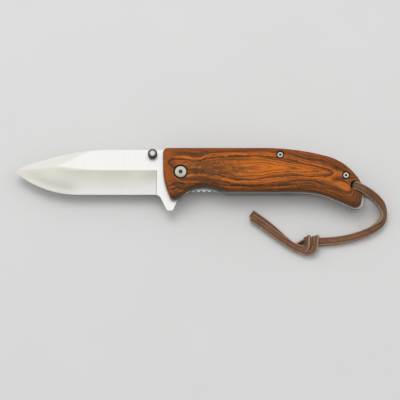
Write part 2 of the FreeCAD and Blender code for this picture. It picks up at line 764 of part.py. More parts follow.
# Routes of the lace. A flat lace lies under its own weight on the surface that the knife lies on.
# Its two strands lie on each other from the butt to the knot, and so do its two tails.
LOW_LAY = 0.95
HIGH_LAY = 3.0
LACE_ROUTES = {
    "lace_upper_strand": [
        (99.4, -7.8, 7.6),
        (99.4, -7.8, 16.3),
        (105.0, -10.4, 16.3),
        (110.6, -13.7, 13.6),
        (115.0, -17.7, 9.4),
        (117.0, -22.2, 5.8),
        (115.6, -26.7, 4.2),
        (111.0, -29.9, 3.4),
        (105.3, -33.0, 3.1),
        (98.4, -36.0, HIGH_LAY),
        (91.0, -37.5, HIGH_LAY),
        (84.2, -38.0, HIGH_LAY),
        (79.0, -39.2, HIGH_LAY),
    ],
    "lace_lower_strand": [
        (99.4, -7.8, 7.6),
        (99.4, -7.8, LOW_LAY),
        (105.0, -9.5, LOW_LAY),
        (110.4, -11.9, LOW_LAY),
        (114.4, -16.1, LOW_LAY),
        (116.2, -21.2, LOW_LAY),
        (115.0, -26.0, LOW_LAY),
        (111.0, -29.6, LOW_LAY),
        (105.2, -32.9, LOW_LAY),
        (98.4, -36.0, LOW_LAY),
        (91.0, -37.6, LOW_LAY),
        (84.2, -38.3, LOW_LAY),
        (79.0, -39.4, LOW_LAY),
    ],
    "lace_tail_top": [
        (73.4, -42.2, HIGH_LAY),
        (69.6, -43.3, HIGH_LAY),
        (65.4, -42.0, HIGH_LAY),
        (59.5, -38.3, HIGH_LAY),
        (53.0, -33.6, HIGH_LAY),
        (46.8, -28.8, HIGH_LAY),
        (41.4, -25.1, HIGH_LAY),
    ],
    "lace_tail_under": [
        (72.6, -41.2, LOW_LAY),
        (68.9, -41.6, LOW_LAY),
        (64.9, -39.9, LOW_LAY),
        (59.2, -36.1, LOW_LAY),
        (52.7, -31.3, LOW_LAY),
        (46.5, -26.4, LOW_LAY),
        (41.0, -22.5, LOW_LAY),
    ],
}
ARC_SHARE = 0.45  # of the shorter run beside a corner, taken up by the corner's arc


def rounded_path(route):
    """Straight runs through a route's points, joined by tangent arcs, and the arcs' radii."""
    points = [FreeCAD.Vector(*p) for p in route]
    edges, radii, here = [], [], points[0]
    for before, corner, after in zip(points, points[1:], points[2:]):
        back, on = unit(corner, before), unit(corner, after)
        cut = ARC_SHARE * min((before - corner).Length, (after - corner).Length)
        half_turn = (math.pi - back.getAngle(on)) / 2
        radius = cut / math.tan(half_turn)
        first, last = corner + back * cut, corner + on * cut
        middle = unit(corner, corner + back + on) * (radius / math.cos(half_turn) - radius)
        edges += [Part.LineSegment(here, first).toShape(), Part.Arc(first, corner + middle, last).toShape()]
        radii.append(radius)
        here = last
    edges.append(Part.LineSegment(here, points[-1]).toShape())
    return Part.Wire(edges), radii


def lace_section(start, along, across):
    """The lace's section at its start: flat, with round edges."""
    half_flat = (value("size.lace_width") - value("size.lace_thick")) / 2
    half_thick = value("size.lace_thick") / 2
    up = along.cross(across)
    corners = [
        start + across * (a * half_flat) + up * (b * half_thick)
        for a, b in ((1, -1), (1, 1), (-1, 1), (-1, -1))
    ]
    right = start + across * (half_flat + half_thick)
    left = start - across * (half_flat + half_thick)
    return Part.Wire(
        [
            Part.Arc(corners[0], right, corners[1]).toShape(),
            Part.LineSegment(corners[1], corners[2]).toShape(),
            Part.Arc(corners[2], left, corners[3]).toShape(),
            Part.LineSegment(corners[3], corners[0]).toShape(),
        ]
    )


def lace(node, route):
    path, radii = rounded_path(route)
    start, along = FreeCAD.Vector(*route[0]), unit(*(FreeCAD.Vector(*p) for p in route[:2]))
    leaving = next(
        step
        for step in (FreeCAD.Vector(*b) - FreeCAD.Vector(*a) for a, b in zip(route, route[1:]))
        if math.hypot(step.x, step.y) > TINY
    )
    across = FreeCAD.Vector(-leaving.y, leaving.x, 0).normalize()
    section = lace_section(start, along, across)
    shell = Part.BRepOffsetAPI.MakePipeShell(path)
    shell.add(section)
    shell.build()
    shell.makeSolid()
    body = doc.addObject("Part::Feature", f"body_{node}")
    body.Label = node
    body.Shape = Part.Solid(shell.shape())
    body.Placement = FreeCAD.Placement()
    expected = Part.Face(section).Area * path.Length
    print(node, "length", round(path.Length, 1), "radii", [round(r, 1) for r in radii])
    print(node, "volume", round(body.Shape.Volume, 1), "section times length", round(expected, 1))
    pieces[node] = body


def lace_knot():
    knot = doc.addObject("Part::Ellipsoid", "body_lace_knot")
    knot.Label = "lace_knot"
    knot.setExpression("Radius1", "size.knot_high / 2")
    knot.setExpression("Radius2", "size.knot_long / 2")
    knot.setExpression("Radius3", "size.knot_wide / 2")
    knot.setExpression("Placement.Base.x", "size.knot_x")
    knot.setExpression("Placement.Base.y", "-size.knot_depth")
    knot.setExpression("Placement.Base.z", "size.knot_high / 2")
    pieces["lace_knot"] = knot


scale("scale_front", front=True)
lead_out(scale("scale_back", front=False))
liner("liner_front", LINER_FRONT_Z)
leaf_cutout(liner("liner_back", LINER_BACK_Z))
lock_leaf()
blade()
thumb_stud()
screw(
    "thumb_stud_screw",
    "size.stud_screw_head_radius", "size.stud_screw_head_thick",
    "size.stud_thread_radius", "size.stud_thread_length", "size.stud_socket_radius",
    STUD_X, STUD_Y, BLADE_Z, front=False,
)
stop_pin()
pivot_barrel()
screw(
    "pivot_screw",
    "size.pivot_head_radius", "size.pivot_head_thick",
    "size.pivot_thread_radius", "size.pivot_thread_length", "size.pivot_socket_radius",
    "0", "0", f"{TOP_Z} - size.head_sunk", front=True,
)
for side, height in (("back", WASHER_BACK_Z), ("front", WASHER_FRONT_Z)):
    ring(
        f"washer_{side}", "size.barrel_radius + size.pivot_clearance", WASHER_RADIUS,
        "size.washer_thick", "0", "0", height,
    )
THREAD_LENGTH = (
    "size.scale_thick - size.head_sunk - size.screw_head_thick"
    f" + size.liner_thick + {THREAD_ENGAGED}"
)
for spot, (spot_x, spot_y) in BODY_SCREWS.items():
    ring(
        f"{spot}_standoff", "size.screw_thread_radius + size.thread_clearance", "size.standoff_radius",
        CHANNEL, spot_x, spot_y, WASHER_BACK_Z,
    )
    for side, height in (("back", "size.head_sunk"), ("front", f"{TOP_Z} - size.head_sunk")):
        screw(
            f"{spot}_screw_{side}",
            "size.screw_head_radius", "size.screw_head_thick",
            "size.screw_thread_radius", THREAD_LENGTH, "size.screw_socket_radius",
            spot_x, spot_y, height, front=side == "front",
        )
for strand, points in LACE_ROUTES.items():
    lace(strand, points)
lace_knot()

doc.recompute()
problems = [f"{o.Label}: {o.State}" for o in doc.Objects if {"Invalid", "Error"} & set(o.State)]
for o in doc.Objects:
    if o.TypeId in ("PartDesign::Pocket", "PartDesign::Groove", "PartDesign::SubtractiveBox"):
        if o.Shape.Volume > o.BaseFeature.Shape.Volume - TINY:
            problems.append(f"{o.getParentGeoFeatureGroup().Label}: {o.Label} cuts nothing")
for node, piece in pieces.items():
    if piece.Shape.isNull() or not piece.Shape.isValid():
        problems.append(f"{node}: its shape is null or not valid")
if problems:
    raise RuntimeError("; ".join(problems))
os.makedirs("parts", exist_ok=True)
for node, piece in pieces.items():
    piece.Shape.exportStep(f"parts/{node}.step")
print(len(pieces), "pieces written")
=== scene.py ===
"""Looks of the folding pocket knife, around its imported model.

Lengths are metres, in the knife's own frame. Places in the tables and finishes are in millimetres.
"""

import math

import bmesh
import bpy
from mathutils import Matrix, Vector


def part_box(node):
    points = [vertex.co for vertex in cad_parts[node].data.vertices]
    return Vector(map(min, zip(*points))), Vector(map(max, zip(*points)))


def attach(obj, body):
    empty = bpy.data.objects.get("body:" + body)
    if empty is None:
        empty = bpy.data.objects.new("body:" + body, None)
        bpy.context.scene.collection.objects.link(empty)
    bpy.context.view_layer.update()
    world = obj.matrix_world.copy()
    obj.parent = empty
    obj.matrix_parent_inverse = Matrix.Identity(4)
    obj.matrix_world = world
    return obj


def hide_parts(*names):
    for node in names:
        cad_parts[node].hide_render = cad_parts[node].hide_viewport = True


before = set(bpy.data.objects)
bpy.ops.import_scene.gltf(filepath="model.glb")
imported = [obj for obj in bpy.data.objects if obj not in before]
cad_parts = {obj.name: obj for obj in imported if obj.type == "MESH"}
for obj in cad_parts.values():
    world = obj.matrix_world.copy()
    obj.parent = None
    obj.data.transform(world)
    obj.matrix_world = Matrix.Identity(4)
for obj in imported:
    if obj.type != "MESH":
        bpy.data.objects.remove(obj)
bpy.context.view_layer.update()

MM = 0.001

# Sockets of a Mix node that mixes colours.
MIX_FACTOR, MIX_FIRST, MIX_SECOND, MIX_RESULT = 0, 6, 7, 2
# Depth of the bump that grinding lines make.
LINE_DEPTH = 0.01 * MM
# The lace's curves: steps between two points, the reach of its cut end and the gap that is closed.
ROUTE_STEPS = 12
END_REACH = 0.05 * MM
CLOSED_GAP = 0.001 * MM

# The photograph's frame: a camera on the edge's side of the knife, high above it.
VIEW_ELEVATION = math.radians(78)
VIEW_DISTANCE = 2.0
VIEW_WIDTH = 228.2 * MM
VIEW_AIM = Vector((11.1, -16.7, 15.2)) * MM
SENSOR = 36.0


def axis_of(node):
    """Where the axis of an upright piece stands, as X and Y."""
    low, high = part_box(node)
    return (low[0] + high[0]) / 2, (low[1] + high[1]) / 2


class Signal:
    """A socket whose value changes over a surface. Arithmetic on it adds Math nodes."""

    def __init__(self, nodes, socket):
        self.nodes = nodes
        self.socket = socket

    def math(self, operation, *others):
        inputs = dict(enumerate((self, *others)))
        return self.nodes.add("ShaderNodeMath", {"operation": operation}, inputs)

    def reflected(self, operation, other):
        return self.nodes.add("ShaderNodeMath", {"operation": operation}, {0: other, 1: self})

    def __add__(self, other):
        return self.math("ADD", other)

    def __radd__(self, other):
        return self.reflected("ADD", other)

    def __sub__(self, other):
        return self.math("SUBTRACT", other)

    def __rsub__(self, other):
        return self.reflected("SUBTRACT", other)

    def __mul__(self, other):
        return self.math("MULTIPLY", other)

    def __rmul__(self, other):
        return self.reflected("MULTIPLY", other)

    def __truediv__(self, other):
        return self.math("DIVIDE", other)

    def __rtruediv__(self, other):
        return self.reflected("DIVIDE", other)

    def __abs__(self):
        return self.math("ABSOLUTE")

    def step(self, start, end):
        """0 before start and 1 after end, with a soft rise between them."""
        settings = {"interpolation_type": "SMOOTHSTEP"}
        inputs = {"Value": self, "From Min": start, "From Max": end}
        return self.nodes.add("ShaderNodeMapRange", settings, inputs)

    def below(self, limit, softness):
        """1 under the limit and 0 above it."""
        return 1.0 - self.step(limit - softness, limit + softness)


class Nodes:
    """The nodes of one finish."""

    def __init__(self, tree):
        self.tree = tree

    def add(self, kind, settings=None, inputs=None, output=0):
        node = self.tree.nodes.new(kind)
        for name, setting in (settings or {}).items():
            if name == "stops":
                self.set_stops(node.color_ramp, setting)
            elif name == "points":
                self.set_points(node.mapping, setting)
            else:
                setattr(node, name, setting)
        for name, entry in (inputs or {}).items():
            self.feed(node.inputs[name], entry)
        return Signal(self, node.outputs[output])

    def feed(self, socket, entry):
        if isinstance(entry, Signal):
            self.tree.links.new(entry.socket, socket)
        else:
            socket.default_value = entry

    @staticmethod
    def set_stops(ramp, stops):
        while len(ramp.elements) < len(stops):
            ramp.elements.new(1.0)
        for element, (position, colour) in zip(ramp.elements, stops):
            element.position = position
            element.color = (*colour, 1.0)

    @staticmethod
    def set_points(mapping, points):
        curve = mapping.curves[0]
        curve.points[0].location, curve.points[1].location = points[0], points[-1]
        for point in points[1:-1]:
            curve.points.new(*point)
        mapping.update()

    def follow(self, signal, points):
        """A smooth curve through points (signal, value)."""
        firsts, seconds = zip(*points)
        low, span = min(seconds), max(seconds) - min(seconds)
        start, run = firsts[0], firsts[-1] - firsts[0]
        scaled = [((a - start) / run, (b - low) / span) for a, b in points]
        inputs = {"Value": (signal - start) / run}
        return self.add("ShaderNodeFloatCurve", {"points": scaled}, inputs) * span + low

    def millimetres(self):
        """Where a point of the piece lies in the knife's frame, in millimetres."""
        place = self.add("ShaderNodeTexCoord", output="Object")
        return self.add("ShaderNodeVectorMath", {"operation": "SCALE"}, {0: place, "Scale": 1 / MM})

    def parts(self, vector):
        settings, inputs = None, {0: vector}
        return [self.add("ShaderNodeSeparateXYZ", settings, inputs, output=i) for i in range(3)]

    def stretched(self, vector, x, y, z):
        inputs = {0: vector, 1: (x, y, z)}
        return self.add("ShaderNodeVectorMath", {"operation": "MULTIPLY"}, inputs)

    def noise(self, vector, scale=1.0, detail=2.0, roughness=0.5):
        inputs = {"Vector": vector, "Scale": scale, "Detail": detail, "Roughness": roughness}
        return self.add("ShaderNodeTexNoise", None, inputs)

    def pattern(self, vector, stretch, detail, roughness=0.5):
        """Noise that is drawn out over X, Y and Z."""
        return self.noise(self.stretched(vector, *stretch), detail=detail, roughness=roughness)

    def vector(self, x, y, z=0.0):
        return self.add("ShaderNodeCombineXYZ", None, {0: x, 1: y, 2: z})

    def mix(self, factor, first, second):
        """A mix of two colours. A colour is three numbers or a signal."""
        settings = {"data_type": "RGBA", "clamp_factor": True}
        colours = [c if isinstance(c, Signal) else (*c, 1.0) for c in (first, second)]
        inputs = {MIX_FACTOR: factor, MIX_FIRST: colours[0], MIX_SECOND: colours[1]}
        return self.add("ShaderNodeMix", settings, inputs, output=MIX_RESULT)

    def layered(self, colour, layers):
        """A colour with others laid over it in turn. Each layer is how much, and its colour."""
        for amount, tint in layers:
            colour = self.mix(amount, colour, tint)
        return colour

    def from_axis(self, vector, axis):
        """Distance from an upright axis of the knife, in millimetres."""
        flat = self.stretched(vector, 1.0, 1.0, 0.0)
        foot = (axis[0] / MM, axis[1] / MM, 0.0)
        settings = {"operation": "DISTANCE"}
        return self.add("ShaderNodeVectorMath", settings, {0: flat, 1: foot}, output="Value")

    def flatness(self):
        """1 on a face that looks straight up or down, and 0 on an upright side."""
        facing = self.add("ShaderNodeTexCoord", output="Normal")
        return abs(self.parts(facing)[2])


class Finish(Nodes):
    """A surface material. Values that are the same all over go straight to the shader."""

    def __init__(self, name, **constants):
        self.material = bpy.data.materials.new(name)
        self.material.use_nodes = True
        super().__init__(self.material.node_tree)
        self.shader = next(n for n in self.tree.nodes if n.type == "BSDF_PRINCIPLED")
        for socket, amount in constants.items():
            self.shader.inputs[socket.replace("_", " ")].default_value = amount

    def set(self, **signals):
        for socket, signal in signals.items():
            self.feed(self.shader.inputs[socket.replace("_", " ")], signal)

    def bump(self, height, strength, distance):
        inputs = {"Height": height, "Strength": strength, "Distance": distance}
        self.set(Normal=self.add("ShaderNodeBump", None, inputs))


# Colours of the wood, from its glowing streaks to its dark grain lines.
GLOW = (0.63, 0.158, 0.013)
ORANGE = (0.43, 0.1, 0.011)
RUSSET = (0.24, 0.052, 0.009)
DEEP = (0.19, 0.04, 0.002)
OLIVE = (0.11, 0.05, 0.014)
UMBER = (0.055, 0.026, 0.01)
GRAIN = (0.022, 0.014, 0.007)
# Painted shade for the recess around each screw.
RECESS_SHADE = (0.1, 0.06, 0.035)

# The main grain loop: its middle line and its half width, at places along the handle.
LOOP_MIDDLE = [
    (-12, 6.4),
    (-7, 5.6),
    (-3, 4.2),
    (2, 3.0),
    (10, 2.6),
    (15, 3.4),
    (26, 2.6),
    (37, 1.8),
    (57, 2.3),
    (75, 0.6),
    (87, -1.3),
    (106, -4),
]
LOOP_HALF = [
    (-12, -4.0),
    (-8, -0.6),
    (-5.5, 1.7),
    (-1, 3.5),
    (2, 4.0),
    (10, 3.5),
    (15, 4.2),
    (25, 5.6),
    (37, 6.8),
    (57, 5.4),
    (75, 3.4),
    (85, 1.9),
    (88, -0.3),
    (96, -1.6),
    (106, -6),
]

# Distance outward from the main grain loop, and the colour there.
GRAIN_BANDS = [
    (-7.0, ORANGE),
    (-5.2, GLOW),
    (-3.6, ORANGE),
    (-2.8, GLOW),
    (-1.8, OLIVE),
    (-1.2, ORANGE),
    (-0.5, RUSSET),
    (-0.1, GRAIN),
    (0.2, GRAIN),
    (0.6, GLOW),
    (2.3, ORANGE),
    (2.9, RUSSET),
    (3.3, UMBER),
    (3.7, OLIVE),
    (4.3, UMBER),
    (4.8, RUSSET),
    (5.6, ORANGE),
    (6.4, RUSSET),
    (7.0, UMBER),
    (7.8, OLIVE),
    (8.5, RUSSET),
    (9.2, UMBER),
    (10.2, RUSSET),
    (12.0, OLIVE),
    (17.0, RUSSET),
]

# The scale's upper and lower outlines along the handle, and its end at the butt.
SPINE = [
    (-12, 14.2),
    (30, 14.2),
    (45, 14.2),
    (60, 13.6),
    (67, 12.8),
    (74, 11.6),
    (81, 10.0),
    (88, 7.9),
    (95, 3.7),
    (101, -2.6),
    (106, -11),
]
BELLY = [
    (-12, -20),
    (-4, -15.8),
    (2, -11.8),
    (8, -8.5),
    (14, -7.7),
    (20, -8.8),
    (27, -11.1),
    (50, -11.2),
    (68, -11.2),
    (74, -11.5),
    (80, -12.7),
    (86, -14.7),
    (92, -17.3),
    (98, -19.9),
    (106, -20.6),
]
BUTT_X = 104.0
# A dark grain line above the belly.
BELLY_LINE = [
    (6, -3.6),
    (17, -5.6),
    (24, -7.6),
    (34, -8.3),
    (50, -7.9),
    (62, -7.7),
    (72, -8.2),
    (80, -9.4),
    (88, -11.4),
]


def spot(x, y, middle, reach):
    """1 at the middle of an oval, 0 on its outline and less outside it."""
    along, up = (x - middle[0]) / reach[0], (y - middle[1]) / reach[1]
    return 1.0 - along * along - up * up


# Dark stains in the wood, its olive patch and the scratches of its nose: middle and reach of each.
STAINS = [
    ((9.0, 0.6), (7.0, 1.9)),
    ((-4.2, 3.8), (2.6, 3.6)),
]
OLIVE_PATCH = ((18.0, 2.0), (24.0, 6.0))
NOSE_SCRATCHES = ((-3.4, -8.2), (7.0, 3.4))

# Zones along the handle. One that starts has the two ends of its rise, and one that ends has its
# limit and softness.
NOSE_END = (-4.5, 3.5)
NOSE_TIP_END = (2.0, 2.0)
NOSE_TIP_TOP = (-12.6, 2.0)
GROOVE_SHADE_START, GROOVE_SHADE_END = (1.0, 9.0), (25.0, 4.0)
LOW_START = (22.0, 30.0)
BELLY_LINE_START, BELLY_LINE_END = (12.0, 20.0), (82.0, 5.0)
COMBED_START = (38.0, 52.0)
BUTT_START, BUTT_SLANT = (106.0, 130.0), 1.5

# Under the loop, the grain bends along the outline toward the butt.
BEND_START, BEND_TOP = (52.0, 80.0), (-4.4, 2.0)
BEND_DEPTH = 9.6
CORNER_ROUNDING = 5.0
LOOP_ROUNDING = 0.4

# How the wood's patterns are drawn out over X, Y and Z.
DRIFT = (0.03, 0.08, 0.07)
RIPPLE = (0.12, 0.4, 0.3)
BLUR = (0.45, 1.5, 1.5)
MOTTLE = (0.3, 0.5, 0.5)
CLUSTERS = (0.05, 0.16, 0.16)
# The same over X, the distance from the grain loop, and Z.
STREAKS = (0.06, 1.3, 1.0)
RINGS = (0.035, 0.6, 0.5)
PORES = (0.2, 2.6, 2.6)
COMB_WAVES = 4.4

# Radius of the painted shade that the wood has in the recess around each screw.
SCREW_RECESS_SHADE = {"pivot_screw": 4.15, "spine_screw_front": 2.35, "butt_screw_front": 2.35}


def grain_distance(finish, x, y, above_belly, drift, ripple):
    """Distance outward from the main grain loop."""
    across = y - finish.follow(x, LOOP_MIDDLE) + drift * 2.6 + ripple * 1.3
    loop = (across * across + LOOP_ROUNDING).math("SQRT") - finish.follow(x, LOOP_HALF)
    from_outline = above_belly.math("SMOOTH_MIN", BUTT_X - x, CORNER_ROUNDING)
    from_outline = from_outline + drift * 1.5 + ripple * 1.6
    bent = x.step(*BEND_START) * across.below(*BEND_TOP)
    return loop + bent * (BEND_DEPTH - from_outline - loop)


def banded_grain(finish, distance):
    """The colours of the grain bands, by distance from the main loop."""
    first, last = GRAIN_BANDS[0][0], GRAIN_BANDS[-1][0]
    stops = [((place - first) / (last - first), tint) for place, tint in GRAIN_BANDS]
    banded = (distance - first) / (last - first)
    return finish.add("ShaderNodeValToRGB", {"stops": stops}, {0: banded})


def polished_wood():
    """Polished orange-brown wood, with grain loops that run along the handle."""
    finish = Finish("polished_wood", Specular_IOR_Level=0.12, Coat_Roughness=0.2)
    place = finish.millimetres()
    x, y, z = finish.parts(place)
    above_belly = y - finish.follow(x, BELLY)
    drift = finish.pattern(place, DRIFT, detail=2.0) - 0.5
    ripple = finish.pattern(place, RIPPLE, detail=3.0) - 0.5
    blur = finish.pattern(place, BLUR, detail=4.0, roughness=0.6) - 0.5
    mottle = finish.pattern(place, MOTTLE, detail=5.0, roughness=0.65)
    uneven = mottle - 0.5
    clusters = finish.pattern(place, CLUSTERS, detail=2.0).step(0.35, 0.65)

    loop = grain_distance(finish, x, y, above_belly, drift, ripple)
    outer = loop.step(-1.2, 0.0)
    along_grain = finish.vector(x, loop, z)
    streak = finish.pattern(along_grain, STREAKS, detail=6.0, roughness=0.75)
    rings = finish.pattern(along_grain, RINGS, detail=3.0, roughness=0.55)
    thin_lines = abs(rings - 0.5).below(0.022, 0.016)
    pores = finish.pattern(along_grain, PORES, detail=4.0, roughness=0.6).step(0.56, 0.64)
    comb = (loop * COMB_WAVES + uneven * 4.0 + drift * 9.0).math("SINE")
    combed = x.step(*COMBED_START) * (1.0 - outer)
    grain = [
        (streak.step(0.5, 0.64) * 0.7, GLOW),
        (streak.below(0.45, 0.07) * (0.5 + outer * 0.3), OLIVE),
        (thin_lines * (0.25 + outer * 0.45), GRAIN),
        (combed * comb.below(-0.1, 0.6) * 0.6, GLOW),
        (combed * comb.step(0.5, 0.95) * streak.below(0.58, 0.1) * 0.65, UMBER),
    ]

    patch = spot(x, y, *OLIVE_PATCH) + uneven * 4.0
    stains = [spot(x, y, *stain) + uneven * 2.0 for stain in STAINS]
    nose = x.below(*NOSE_END) * above_belly.step(2.0, 7.0) * loop.step(0.4, 1.6)
    below_spine = finish.follow(x, SPINE) - y + ripple * 2.0
    low = (above_belly + ripple * 2.0).below(4.4, 2.2) * x.step(*LOW_START)
    from_line = abs(y - finish.follow(x, BELLY_LINE) + ripple * 2.4)
    belly_line = from_line.below(0.5, 0.4) * mottle.step(0.34, 0.5)
    belly_line = belly_line * x.step(*BELLY_LINE_START) * x.below(*BELLY_LINE_END)
    zones = [
        (patch.step(0.05, 1.05) * 0.8, OLIVE),
        *((stain.step(0.0, 0.9) * 0.7, UMBER) for stain in stains),
        (nose * (0.25 + mottle * 0.7), ORANGE),
        (below_spine.below(2.6, 1.6) * (0.2 + mottle * 0.8), RUSSET),
        (low * 0.25, DEEP),
        (belly_line * 0.85, GRAIN),
    ]

    slanted = finish.vector(x * 0.15, (y - x * 0.25) * 1.3, z)
    scratches = finish.noise(slanted, detail=3.0).step(0.48, 0.56)
    scratches = scratches * spot(x, y, *NOSE_SCRATCHES).step(0.0, 0.5)
    nose_tip = y.below(*NOSE_TIP_TOP) * x.below(*NOSE_TIP_END)
    # Painted shade along the wood's lower edge at the finger groove.
    groove_shade = x.step(*GROOVE_SHADE_START) * x.below(*GROOVE_SHADE_END)
    groove_shade = groove_shade * (above_belly + uneven * 2.0).below(1.4, 1.6)
    butt = (x - y * BUTT_SLANT + uneven * 16.0).step(*BUTT_START)
    # Painted shade on the wood's upright sides and rounded edges.
    shaded_sides = 1.0 - finish.flatness()
    axes = {axis_of(screw): radius for screw, radius in SCREW_RECESS_SHADE.items()}
    marks_and_shade = [
        (scratches * 0.9, GRAIN),
        (nose_tip * 0.75, UMBER),
        (groove_shade * 0.75, UMBER),
        (butt * 0.55, OLIVE),
        (pores * clusters * (0.5 + outer * 0.4), GRAIN),
        (shaded_sides.step(0.02, 0.7) * 0.75, OLIVE),
        # painted shade in the recess around each screw
        *((finish.from_axis(place, axis).below(r, 0.12), RECESS_SHADE) for axis, r in axes.items()),
    ]

    bands = banded_grain(finish, loop + blur * 1.6)
    finish.set(
        Base_Color=finish.layered(bands, grain + zones + marks_and_shade),
        Roughness=0.38 + pores * 0.15 + (streak - 0.5) * 0.1,
        Coat_Weight=0.06 - pores * 0.05,
    )
    finish.bump(streak * 0.4 - pores, 0.12, 0.05 * MM)
    return finish.material


# The blade's grinds: the grind line, the straight edge and the plunge at the bevel's end.
GRIND_LINE_Y = 2.0
EDGE_Y = -12.0
PLUNGE_X = -13.8
# The edge as it rises to the tip.
TIP_EDGE = [
    (-93, 1.0),
    (-86, -4.2),
    (-80, -7.1),
    (-75.5, -8.9),
    (-71, -10.0),
    (-66.5, -10.9),
    (-62, -11.5),
    (-55, -11.9),
    (-46, -12.0),
]
# The grind line as it rises toward the tip.
GRIND_RISE = [
    (-78, 3.9),
    (-72, 4.2),
    (-68.8, 4.2),
    (-66.5, 3.9),
    (-64.2, 3.6),
    (-61.9, 3.3),
    (-58.5, 2.9),
    (-51.7, 2.4),
    (-44, 2.1),
    (-30, 2.0),
]
# A point on the line where the spine's facet leaves the flat, and the way to the facet's side.
FACET_START = (-71.1, 4.3)
FACET_SIDE = (-0.424, 0.905)

# Zones along the blade. One that starts has the two ends of its rise, and one that ends has its
# limit and softness.
FACET_END = (-50.0, 6.0)
BEVEL_START = (-82.0, -56.0)
RISE_START, RISE_END = (-76.0, -66.0), (-42.0, 3.0)
TIP_END = (-60.0, 7.0)
TIP_SHADE_START = (-92.0, -78.0)
HEEL_START, HEEL_RISE = (-26.0, -14.5), (-7.0, 2.0)

# How the grinding lines and the clouds of the blade are drawn out over X, Y and Z.
BLADE_LINES = (7.0, 0.05, 0.05)
BLADE_CLOUDS = (0.05, 0.09, 0.3)

# Colours of the blade's steel, with the painted reflection on its facet, painted shade on its
# bevel, heel, tip, rise and plunge, and a painted highlight along its edge.
FLAT_DULL = (0.84, 0.825, 0.8)
FLAT_BRIGHT = (0.91, 0.895, 0.87)
FACET_REFLECTION = (0.76, 0.76, 0.7)
HOLLOW_SHADE = (0.63, 0.6, 0.51)
HEEL_SHADE = (0.46, 0.45, 0.41)
TIP_BEVEL_SHADE = (0.76, 0.73, 0.63)
RISE_SHADE = (0.72, 0.7, 0.63)
TIP_SHADE = (0.56, 0.55, 0.48)
PLUNGE_SHADE = (0.2, 0.2, 0.19)
BLADE_EDGE_HIGHLIGHT = (0.92, 0.92, 0.91)


def ground_blade():
    """Satin steel, ground across the blade. The bevel has painted shade under the grind line, the
    facet a painted reflection and the edge a painted highlight.
    """
    finish = Finish("blade_steel", Metallic=1.0)
    place = finish.millimetres()
    x, y, _ = finish.parts(place)
    lines = finish.pattern(place, BLADE_LINES, detail=4.0, roughness=0.7)
    cloud = finish.pattern(place, BLADE_CLOUDS, detail=2.0) - 0.5
    flat = finish.mix(lines.step(0.3, 0.7), FLAT_DULL, FLAT_BRIGHT)
    past_facet = (x - FACET_START[0]) * FACET_SIDE[0] + (y - FACET_START[1]) * FACET_SIDE[1]
    facet = past_facet.step(-0.8, 0.8) * x.below(*FACET_END)
    bevel = y.below(GRIND_LINE_Y, 0.12) * x.below(PLUNGE_X, 0.05) * x.step(*BEVEL_START)
    hollow = bevel * y.step(EDGE_Y, GRIND_LINE_Y + 1.0)
    heel = bevel * x.step(*HEEL_START) * y.step(*HEEL_RISE)
    tip = x.below(*TIP_END)
    tip_bevel = tip * y.below(GRIND_LINE_Y + 0.5, 1.5)
    over_line = y.step(GRIND_LINE_Y - 0.1, GRIND_LINE_Y + 0.1)
    under_rise = over_line * (y - finish.follow(x, GRIND_RISE)).below(0.0, 0.35)
    under_rise = under_rise * x.step(*RISE_START) * x.below(*RISE_END)
    above_edge = y - finish.follow(x, TIP_EDGE)
    shade = above_edge.below(6.5, 2.8) * above_edge.step(0.6, 3.6) * x.step(*TIP_SHADE_START)
    plunge = abs(x - PLUNGE_X).below(0.16, 0.08) * y.below(GRIND_LINE_Y, 0.2)
    edge = y.below(EDGE_Y + 0.5, 0.15) * bevel
    # Painted reflection on the facet, painted shade on the bevel, heel, tip, rise and plunge, and a
    # painted highlight along the edge.
    layers = [
        (facet * 0.8, FACET_REFLECTION),
        (hollow * (0.8 + cloud * 0.9), HOLLOW_SHADE),
        (heel * 0.4, HEEL_SHADE),
        (tip_bevel * 0.6, TIP_BEVEL_SHADE),
        (under_rise * 0.92, RISE_SHADE),
        (tip * shade * 0.5, TIP_SHADE),
        (plunge * 0.7, PLUNGE_SHADE),
        (edge * 0.6, BLADE_EDGE_HIGHLIGHT),
    ]
    finish.set(
        Base_Color=finish.layered(flat, layers),
        Roughness=0.33 + (lines - 0.5) * 0.14 + cloud * 0.06,
    )
    finish.bump(lines, 0.05, LINE_DEPTH)
    return finish.material


LANYARD_HOLE = (99.4 * MM, -7.8 * MM)
# The cut edges of the liners: painted shade, dull at the pivot, and a painted highlight toward the
# butt.
EDGE_HIGHLIGHT_START = (50.0, 95.0)
CUT_EDGE_SHADE = (0.42, 0.37, 0.31)
CUT_EDGE_HIGHLIGHT = (0.9, 0.88, 0.84)
# Painted shade on the front liner at the finger groove.
LINER_SHADE_START, LINER_SHADE_END, LINER_SHADE_HEIGHT = (-5.0, 0.0), (25.0, 3.0), (8.0, 9.0)
LINER_SHADE = (0.08, 0.075, 0.06)


